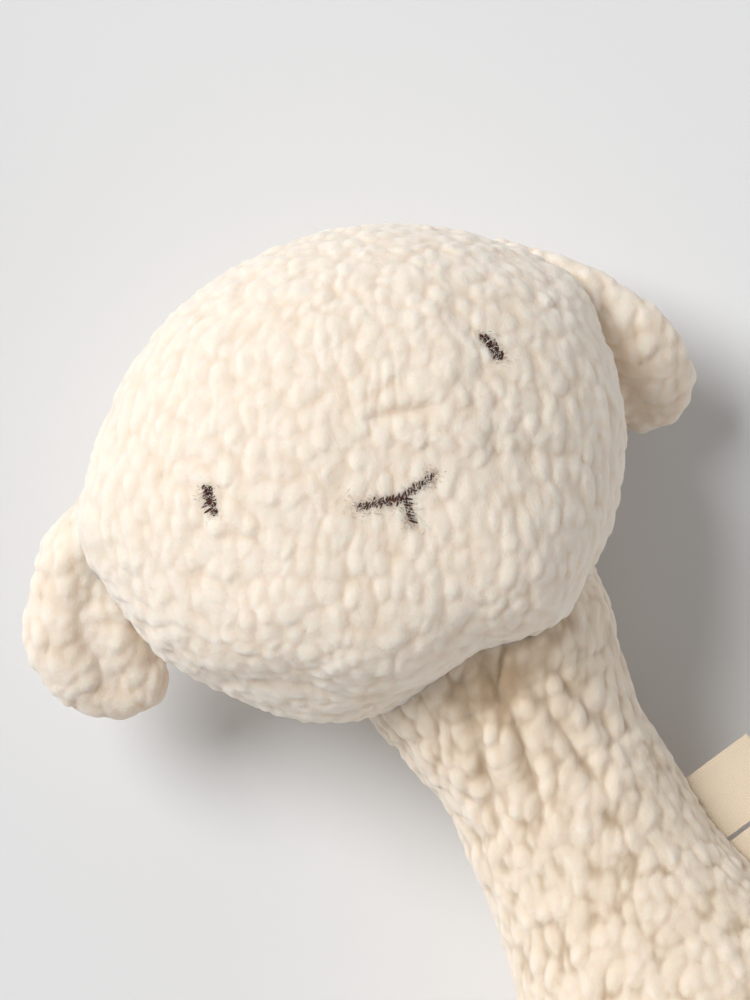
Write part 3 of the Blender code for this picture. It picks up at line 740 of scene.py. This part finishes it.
def pile_over_stitches():
    """Loose fibres of the pile that cross the stitches: closed three-sided spikes, each in two
    steps, out from the cloth and then over along the comb."""
    rng = np.random.default_rng(7)
    spots = []
    for across, rise, slant in EYES.values():
        along = rng.uniform(-EYE_FIBRE_RUN, EYE_FIBRE_RUN, (EYE_FIBRES, 1))
        aside = rng.normal(0, EYE_FIBRE_STRAY, (EYE_FIBRES, 2))
        spots.append(np.array([across, rise]) + eye_down(slant) * along + aside)
    for tip in NOSE_TIPS:
        along = rng.uniform(*NOSE_FIBRE_RUN, (NOSE_FIBRES, 1))
        aside = rng.normal(0, NOSE_FIBRE_STRAY, (NOSE_FIBRES, 2))
        spots.append(np.array(NOSE) + np.array(tip) * along + aside)
    spots = np.concatenate(spots)
    placed = [on_head(x, y, FIBRE_ROOT) for x, y in spots]
    low, out = (np.array(part) for part in zip(*placed))
    count = len(low)
    wild = rng.normal(0, 1, (2, count, 3)) * FIBRE_WILDNESS
    long = FIBRE_LENGTH * rng.uniform(*FIBRE_SPREAD, (count, 1))
    first = low + (out * FIBRE_OUT + wild[0]) * long * FIBRE_STEPS[0]
    tip = first + (COMB * FIBRE_COMBED + wild[1]) * long * FIBRE_STEPS[1]
    across = np.cross(first - low, tip - first)
    across /= np.linalg.norm(across, axis=-1, keepdims=True)
    over = np.cross(first - low, across)
    over /= np.linalg.norm(over, axis=-1, keepdims=True)
    turns = np.arange(3) * 2 * math.pi / 3
    ring = np.stack([across * math.cos(turn) + over * math.sin(turn) for turn in turns], 1)
    verts = np.concatenate([
        low[:, None] + ring * FIBRE_RADIUS, first[:, None] + ring * FIBRE_RADIUS, tip[:, None],
    ], 1)
    faces = np.array([(0, 1, 4), (0, 4, 3), (1, 2, 5), (1, 5, 4), (2, 0, 3), (2, 3, 5),
                      (3, 4, 6), (4, 5, 6), (5, 3, 6), (2, 1, 0)])
    faces = (faces[None] + np.arange(count)[:, None, None] * 7).reshape(-1, 3)
    mesh = bpy.data.meshes.new("stitch_fuzz")
    fill_mesh(mesh, verts.reshape(-1, 3), [faces])
    made = show(mesh, LOOKS["fibre"])
    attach(made, "head")


# Torso and neck, one cloth

def trunk_measures(y):
    """Half width, half depth and axis height at y: a half oval below the hips, a cosine from the
    hips to the torso's top, the neck's easing from its foot, and the ball the head sits on."""
    wave = (1 + np.cos(np.pi * np.clip(y, 0, TORSO_RISE) / TORSO_RISE)) / 2
    wide = TORSO_TOP + (HIP_HALF - TORSO_TOP) * wave
    deep = TORSO_TOP + (HIP_DEEP - TORSO_TOP) * wave
    seat = np.sqrt(np.clip(1 - (np.minimum(y, 0) / TORSO_DROP) ** 2, 0, 1))
    side = NECK_BALL * math.sin(math.acos((NECK_CLOSE - NECK_TOP) / NECK_BALL))
    stations = [(TORSO_RISE, TORSO_TOP), (NECK_START, NECK_START_RADIUS),
                (NECK_WAIST, NECK_RADIUS), (NECK_CLOSE, side)]
    neck = eased(stations, y)
    ball = np.sqrt(np.clip(NECK_BALL ** 2 - (y - NECK_TOP) ** 2, 0, None))
    neck = np.where(y > NECK_CLOSE, ball, neck)
    wide = np.where(y > TORSO_RISE, neck, wide * seat)
    deep = np.where(y > TORSO_RISE, neck, deep * seat)
    height = NECK_HEIGHT + (HIP_HEIGHT - NECK_HEIGHT) * wave
    return wide, deep, height


# The neck's front. Gathers run down from the chin, each with its place across at GATHER_FROM, its
# slant and its depth, and they show only about GATHERED.
GATHERS = ((-0.0029, 0.16, 1.0), (0.0062, -0.12, 0.7), (-0.0120, 0.20, 0.7), (0.0135, -0.22, 0.5))
GATHER_FROM, GATHER_HALF, GATHER_PUFF = 0.115, 0.0019, 0.0022
GATHERED, GATHERED_HALF, GATHERED_FRONT = 0.117, 0.016, 0.015
# The hollow under the chin (across, up), browner by painted shade, and its crease, which forks above
# FORK_FROM
POCKET, POCKET_HALF = (-0.0010, 0.1315), (0.0140, 0.0062)
CREASE_AT, CREASE_SLANT, CREASE_HALF, CREASE_DEPTH = (-0.0015, 0.131), 0.35, 0.0017, 0.0016
FORK_FROM, FORK_OPENING = 0.1305, 0.45
# Where the neck's front rises to meet the jaw, how far round the neck, and how much
FLARE, FLARE_HALF, FLARE_TURN = 0.1345, 0.0090, 0.55
FLARE_RISE, FLARE_FRONT = 0.0040, 0.008
TRUNK_END = 0.1620
# How far the colour goes to that between the curls: on the body partly its darker cloth and partly
# painted shade, and under the chin painted shade.
TRUNK_SHADE, POCKET_SHADE = 0.36, 0.54


def trunk_skin():
    """Rings across the toy from the seat to inside the head, each an oval about the axis, with
    the side seam parted, soft upright gathers and a forked crease under the chin, and a rise
    to the jaw, all of them bell curves."""
    seat_rows, rows, columns = 52, 262, 360
    below = -TORSO_DROP * np.cos((np.arange(seat_rows) + 0.5) / seat_rows * math.pi / 2)
    above = np.linspace(0, TRUNK_END, rows)
    y = np.concatenate([below, above])[:, None]
    spin = np.arange(columns)[None, :] / columns * 2 * math.pi
    wide, deep, height = trunk_measures(y)
    x = wide * np.cos(spin)
    z = deep * np.sin(spin)
    groove = np.zeros(x.shape)
    for across, slant, strength in GATHERS:
        line = across + slant * (y - GATHER_FROM)
        groove = np.maximum(groove, strength * bell(x - line, GATHER_HALF))
    window = bell(y - GATHERED, GATHERED_HALF, 4) * np.clip(z / GATHERED_FRONT, 0, 1)
    pocket = bell(y - POCKET[1], POCKET_HALF[1]) * bell(x - POCKET[0], POCKET_HALF[0]) * (z > 0)
    stem = np.abs(x - CREASE_AT[0] - CREASE_SLANT * (y - CREASE_AT[1]))
    nick = pocket * bell(stem - FORK_OPENING * np.clip(y - FORK_FROM, 0, None), CREASE_HALF)
    flare = bell(y - FLARE, FLARE_HALF) * np.clip(np.cos(spin - FLARE_TURN), 0, 1) ** 2
    puff = GATHER_PUFF * window * (1 - groove) * (1 - pocket)
    swell = 1 + (puff - CREASE_DEPTH * nick) / np.maximum(deep, 0.001)
    rise = FLARE_RISE * flare * np.clip(z / FLARE_FRONT, 0, 1)
    base = np.stack([x * (swell + 1) / 2, y + 0 * x, height + z * swell + rise], -1)
    seam = 0.5 * bell(z, SEAM_HALF)
    # Painted shade: where the gathers, the crease and the seam press the pile, its colour is darker
    # too, and the hollow under the chin is darker still by POCKET_SHADE.
    keep = (1 - seam) * (1 - 0.6 * groove * window) * (1 - 0.6 * nick) * (1 - 0.1 * pocket)
    shade = TRUNK_SHADE + POCKET_SHADE * pocket
    skin = fleece_skin("body_fleece", base, keep, shade=shade, shade_lift=0.06)
    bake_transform(skin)
    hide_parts("body_front_panel", "body_back_panel", "body_stuffing",
                "neck_cover", "neck_stuffing", "neck_wad")


# Limbs

def limb_skin(name, limb, side, nodes, rows, columns):
    """A sack about the limb's own line: its radius eases from the root through the pinch and the
    swell to the round tip, and a half ball closes the root."""
    seat = np.array(BODY_AT[name + "_swing"])
    last = limb["length"] - limb["end"]
    stations = [(0, limb["root"]), limb["pinch"], limb["swell"], (last, limb["end"])]
    share = (np.arange(rows) + 0.5) / rows
    span = limb["root"] * math.pi / 2 + last + limb["end"] * math.pi / 2
    along = share * span - limb["root"] * math.pi / 2
    back = np.clip(-along / limb["root"], 0, math.pi / 2)
    tip = np.clip((along - last) / limb["end"], 0, math.pi / 2)
    radius = eased(stations, np.clip(along, 0, last)) * np.cos(back) * np.cos(tip)
    reach = np.clip(along, 0, last) - limb["root"] * np.sin(back) + limb["end"] * np.sin(tip)
    spread, droop = math.radians(limb["spread"]), math.radians(limb["droop"])
    way = np.array([side * math.sin(spread) * math.cos(droop),
                    -math.cos(spread) * math.cos(droop), -math.sin(droop)])
    across = np.cross(way, [0, 0, 1])
    across /= np.linalg.norm(across)
    over = np.cross(way, across)
    spin = np.arange(columns) / columns * 2 * math.pi
    round_way = np.cos(spin)[:, None] * across + np.sin(spin)[:, None] * over
    base = seat + reach[:, None, None] * way + radius[:, None, None] * round_way
    skin = fleece_skin(name + "_fleece", base, comb=way)
    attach(skin, name)
    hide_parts(*nodes)


# Ears

EAR_SHOULDER = 0.0090
EAR_SHOULDER_LEAN, EAR_TOP_LEAN = 1.1, 0.0022
EAR_PAST_END = 0.0012
# The ear's swells and hollows: how much, where along it, and half how long, by its length
EAR_LOWER_PLUMP = (0.0016, 0.72, 0.45)
EAR_UPPER_PLUMP = (0.0028, 0.13, 0.12)
EAR_PUFF = (0.0040, 0.25, 0.55)
EAR_INNER_TUCK = (0.0025, 0.30, 0.40)
EAR_HOLLOW = (0.0030, 0.62, 0.28)
EAR_HOLLOW_HALF = 0.0040


def along_ear(share, swell, power):
    """One of the ear's swells at shares of its length: its size times a bell curve."""
    size, middle, half = swell
    return size * bell(share - middle, half, power)


def ear_skin(name, side):
    """A leaf on a bowed line: half width eases open by a sine and closes by the root of one less
    the ninth power, thickness closes the same way, the front is puffed and hollowed between its
    rims, and above the root a round shoulder leans into the head."""
    root = np.array(BODY_AT["ear_%s_lift" % name])
    rows, columns = 128, 130
    share = 1 - (1 - np.linspace(0, 1, 400)[:-1, None]) ** 1.7
    above = np.linspace(-0.998, 0, 120)[:-1, None] * EAR_SHOULDER / EAR["length"]
    share = np.concatenate([above, share])
    above = np.clip(-share, 0, None) * EAR["length"]
    spin = (np.arange(columns) / columns * 2 * math.pi)[None, :]
    hang = np.clip(share, 0, 1)
    opening = np.sin(np.pi / 2 * np.minimum(1, hang * 1.5))
    close = np.sqrt(1 - hang ** 9) * np.sqrt(1 - (above / EAR_SHOULDER) ** 2)
    plump = along_ear(share, EAR_LOWER_PLUMP, 4) + along_ear(share, EAR_UPPER_PLUMP, 2)
    wide = (EAR["root"] + (EAR["width"] / 2 - EAR["root"]) * opening + plump) * close
    tuck = np.clip(-side * np.cos(spin), 0, 1) * along_ear(share, EAR_INNER_TUCK, 4)
    lean = EAR_SHOULDER_LEAN * above + EAR_TOP_LEAN * (1 - hang) ** 5
    middle = side * (EAR["bow"] * np.sin(np.pi * hang) - lean)
    deep = EAR["thick"] / 2 * close
    front = np.clip(np.sin(spin), 0, 1) * close
    puff = along_ear(share, EAR_PUFF, 4) + plump
    hollow = along_ear(share, EAR_HOLLOW, 4) * bell(np.cos(spin) * wide, EAR_HOLLOW_HALF)
    long = EAR["length"] + EAR_PAST_END
    local = even_rows(np.stack([
        middle + wide * np.cos(spin) - side * tuck * close,
        -long * share + 0 * spin,
        deep * np.sin(spin) + front * (puff - hollow),
    ], -1), rows)
    spread, droop, roll = (math.radians(angle) for angle in EAR_FALL[name])
    fall = (Matrix.Rotation(HEAD_TURN, 3, "Y") @ Matrix.Rotation(side * spread, 3, "Z")
            @ Matrix.Rotation(droop, 3, "X") @ Matrix.Rotation(-side * roll, 3, "Y"))
    fall = np.array(fall)
    base = local @ fall.T + root
    skin = fleece_skin("ear_%s_fleece" % name, base)
    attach(skin, "ear_" + name)
    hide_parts("ear_%s_front_panel" % name, "ear_%s_back_panel" % name)


# Labels, each as wide as its first measure and standing out of the seam by its second

LABELS = {"brand_label": (0.0160, 0.0175), "care_label": (0.0130, 0.0180)}
LABEL_WAY = (0.98997, 0.14131)
LABEL_TUCK, LABEL_SAG = 0.0030, 0.0006
RIBBON_FOLD, RIBBON_THICK = 0.00055, 0.00028


def label(name, width, reach):
    """A ribbon folded on itself: a closed line out along the top, round the fold, back below and
    in again a thickness inside it, carried across the label's width and sagging by half a sine."""
    root = np.array(BODY_AT[name + "_fold"])
    slant = math.atan2(LABEL_WAY[1], LABEL_WAY[0])
    fold_steps, flat_steps, rows = 12, 24, 28
    turn = np.linspace(math.pi / 2, -math.pi / 2, fold_steps)
    end = reach - RIBBON_FOLD
    flat = np.linspace(-LABEL_TUCK, end, flat_steps)
    lines = []
    for radius in (RIBBON_FOLD, RIBBON_FOLD - RIBBON_THICK):
        arc = np.stack([end + radius * np.cos(turn), radius * np.sin(turn)], -1)
        out = np.stack([flat, np.full(flat_steps, radius)], -1)
        back = np.stack([flat[::-1], np.full(flat_steps, -radius)], -1)
        lines.append(np.concatenate([out[:-1], arc, back[1:]]))
    line = np.concatenate([lines[0], lines[1][::-1]])
    across = np.linspace(-width / 2, width / 2, rows)
    sag = -LABEL_SAG * np.sin(np.clip(line[:, 0] / reach, 0, 1) * math.pi)
    x = line[None, :, 0] + 0 * across[:, None]
    y = across[:, None] + 0 * line[None, :, 0]
    z = (line[:, 1] + sag)[None, :] + 0 * across[:, None]
    cosine, sine = math.cos(slant), math.sin(slant)
    points = np.stack([x * cosine - y * sine, x * sine + y * cosine, z], -1) + root
    index = np.arange(points.shape[0] * points.shape[1]).reshape(points.shape[:2])
    following = np.roll(index, -1, axis=1)
    faces = np.stack([index[:-1], index[1:], following[1:], following[:-1]], -1)
    faces = faces.reshape(-1, 4).tolist()
    half = len(line) // 2
    for row, flip in ((index[0], False), (index[-1], True)):
        outer, inner = row[:half], row[half:][::-1]
        rim = np.stack([outer[:-1], outer[1:], inner[1:], inner[:-1]], -1)
        faces += (rim[:, ::-1] if flip else rim).tolist()
    mesh = bpy.data.meshes.new(name + "_ribbon")
    mesh.from_pydata(points.reshape(-1, 3).tolist(), [], faces)
    mesh.update()
    made = show(mesh, LOOKS["ribbon"])
    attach(made, name)
    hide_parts(name)


head_skin()
for NAME, PLACE in EYES.items():
    eye("eye_" + NAME, *PLACE)
nose_and_mouth()
pile_over_stitches()
trunk_skin()
for NAME, SIDE in SIDES.items():
    ear_skin(NAME, SIDE)
    for KIND, LIMB in (("front_leg", FRONT_LEG), ("hind_leg", HIND_LEG)):
        LEG = "%s_%s" % (KIND, NAME)
        limb_skin(LEG, LIMB, SIDE, (LEG + "_cover", LEG + "_stuffing"), 140, 140)
limb_skin("tail", TAIL, 0, ("tail",), 60, 72)
for LABEL, MEASURES in LABELS.items():
    label(LABEL, *MEASURES)


# Floor, light and camera

CAMERA_TURN = math.radians(28.2)
CAMERA_PLACE = (-0.0058, 0.1787, 1.24)
LENS_MM, SENSOR_MM = 196.4, 36
FLOOR_HALF = 3.0
WORLD_STRENGTH = 0.235


def screen_way(right, up, out):
    """A way in the picture (to its right, to its top, out of it) as a way in the toy's frame."""
    turn = CAMERA_TURN
    x = right * math.cos(turn) + up * math.sin(turn)
    y = -right * math.sin(turn) + up * math.cos(turn)
    return Vector((x, y, out)).normalized()


def sun(name, way, power, softness):
    """A sun that shines from a way, as wide in the sky as its softness in degrees."""
    lamp = bpy.data.lights.new(name, "SUN")
    lamp.energy = power
    lamp.angle = math.radians(softness)
    made = bpy.data.objects.new(name, lamp)
    made.rotation_euler = way.to_track_quat("Z", "Y").to_euler()
    bpy.context.scene.collection.objects.link(made)


def studio():
    """The pale floor, an even world, and three suns: a window and two weak reflectors."""
    half = FLOOR_HALF
    mesh = bpy.data.meshes.new("floor")
    corners = [(-half, -half, 0), (half, -half, 0), (half, half, 0), (-half, half, 0)]
    mesh.from_pydata(corners, [], [(0, 1, 2, 3)])
    look = bpy.data.materials.new("pale_floor")
    look.use_nodes = True
    shader = look.node_tree.nodes["Principled BSDF"]
    shader.inputs["Base Color"].default_value = (0.800, 0.803, 0.810, 1)
    shader.inputs["Roughness"].default_value = 0.9
    shader.inputs["Specular IOR Level"].default_value = 0.0
    mesh.materials.append(look)
    floor = bpy.data.objects.new("floor", mesh)
    bpy.context.scene.collection.objects.link(floor)
    world = bpy.data.worlds.new("studio")
    world.use_nodes = True
    backdrop = world.node_tree.nodes["Background"]
    backdrop.inputs["Color"].default_value = (1.0, 1.0, 1.0, 1)
    backdrop.inputs["Strength"].default_value = WORLD_STRENGTH
    bpy.context.scene.world = world
    sun("window", screen_way(-0.72, 0.46, 0.90), power=2.80, softness=32)
    sun("reflector", screen_way(0.90, -0.30, 0.08), power=0.92, softness=60)
    sun("lower_reflector", screen_way(-0.40, -0.90, 0.10), power=0.32, softness=60)
    bpy.context.scene.view_settings.view_transform = "Standard"


def camera():
    """The camera, straight above the head and turned so that the toy lies askew as in the photo."""
    lens = bpy.data.cameras.new("camera")
    lens.sensor_width = SENSOR_MM
    lens.lens = LENS_MM
    lens.clip_end = 20
    made = bpy.data.objects.new("camera", lens)
    made.location = CAMERA_PLACE
    made.rotation_euler = (0, 0, -CAMERA_TURN)
    bpy.context.scene.collection.objects.link(made)
    bpy.context.scene.camera = made


studio()
camera()
